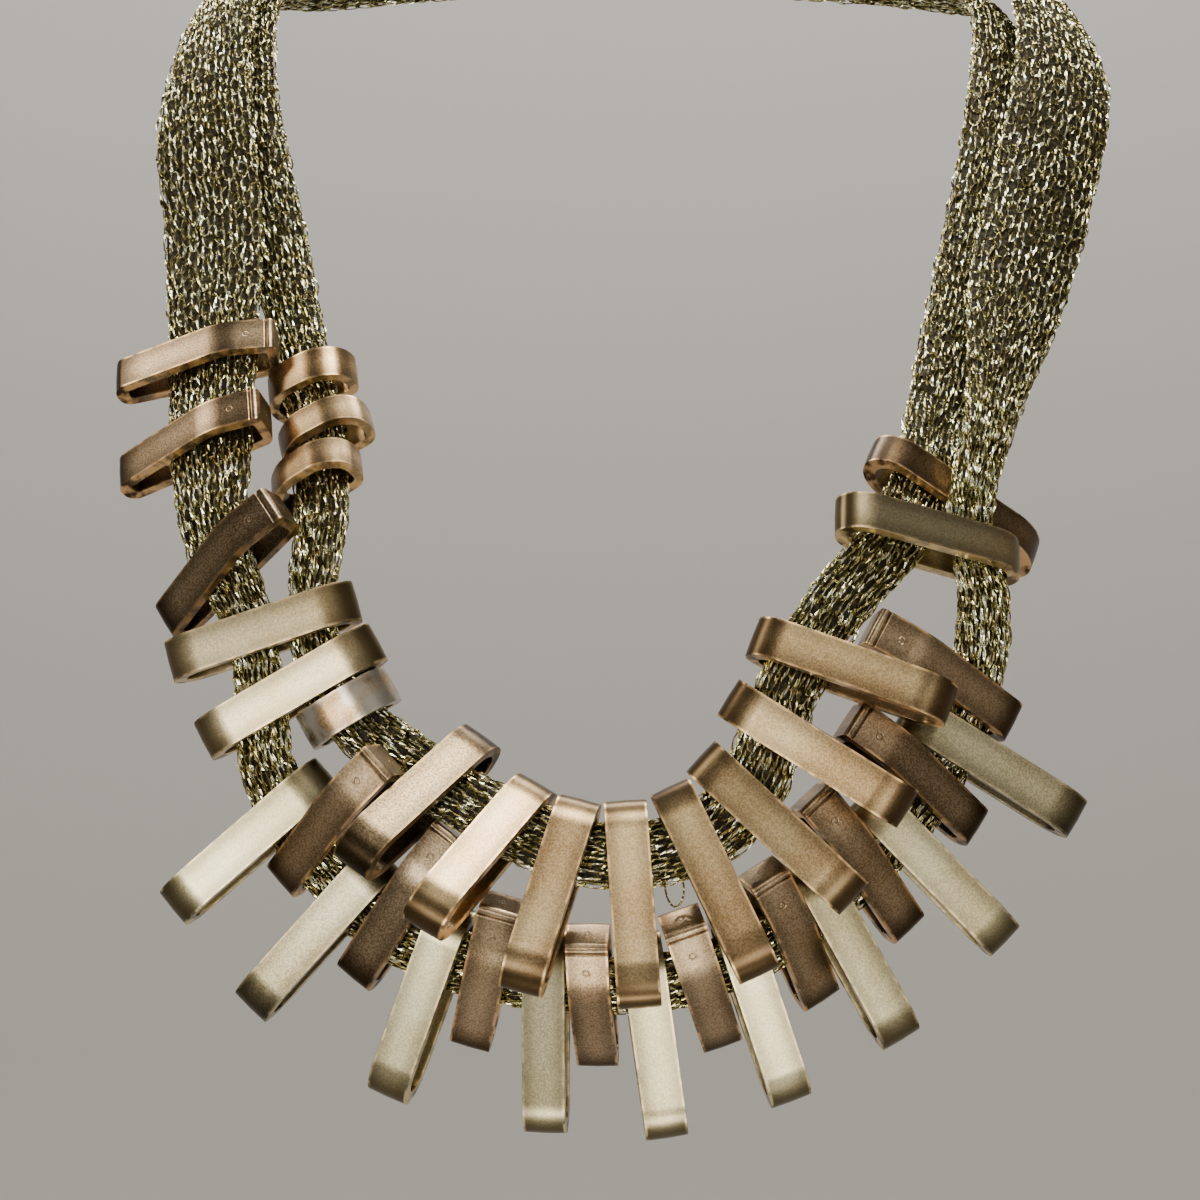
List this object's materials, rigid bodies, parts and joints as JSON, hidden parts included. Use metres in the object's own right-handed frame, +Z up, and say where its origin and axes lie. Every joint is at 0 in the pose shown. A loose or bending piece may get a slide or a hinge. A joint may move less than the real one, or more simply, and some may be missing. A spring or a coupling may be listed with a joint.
{
  "type": "bib necklace",
  "caption": "Bib necklace in its worn form: knitted metallic tubes carry a fan of cast metal links and close with a plain clasp at the nape.",
  "frame": {"origin": "centre of the clasp's inner face, where the necklace sits on the nape", "axes": "+Z up, -Y towards the chest side that the picture shows, +X to the right as seen from the front"},
  "size_m": [0.2199, 0.2004, 0.2767],
  "materials": {
    "long_link": "satin metallic coat, champagne gold to rose copper, with a fine speckle",
    "wedge_link": "satin metallic coat, rose copper to bronze brown",
    "short_link": "satin metallic coat, rose copper, worn silvery in places",
    "knit": "open knit of thin gold and silver metallic yarn over olive brown",
    "clasp": "satin"
  },
  "bodies": {
    "root": {"clasp": "clasp", "inner_tube": "knit", "outer_tube": "knit", "upper_link_1": "long_link", "upper_link_2": "long_link", "upper_link_3": "long_link", "upper_link_4": "long_link", "upper_link_5": "long_link", "upper_link_6": "long_link", "upper_link_7": "long_link", "upper_link_8": "long_link", "lower_link_1": "long_link", "lower_link_2": "long_link", "lower_link_3": "long_link", "lower_link_4": "long_link", "lower_link_5": "long_link", "lower_link_6": "long_link", "lower_link_7": "long_link", "lower_link_8": "long_link", "lower_link_9": "long_link", "cross_link_1": "long_link", "cross_link_2": "long_link", "cross_link_3": "long_link", "shoulder_link_1": "long_link", "wedge_link_1": "wedge_link", "wedge_link_2": "wedge_link", "wedge_link_3": "wedge_link", "wedge_link_4": "wedge_link", "wedge_link_5": "wedge_link", "wedge_link_6": "wedge_link", "wedge_link_7": "wedge_link", "wedge_link_8": "wedge_link", "wedge_link_9": "wedge_link", "wedge_link_10": "wedge_link", "wedge_link_11": "wedge_link", "wedge_link_12": "wedge_link", "short_link_1": "short_link", "short_link_2": "short_link", "short_link_3": "short_link", "short_link_4": "short_link"}
  },
  "joints": []
}
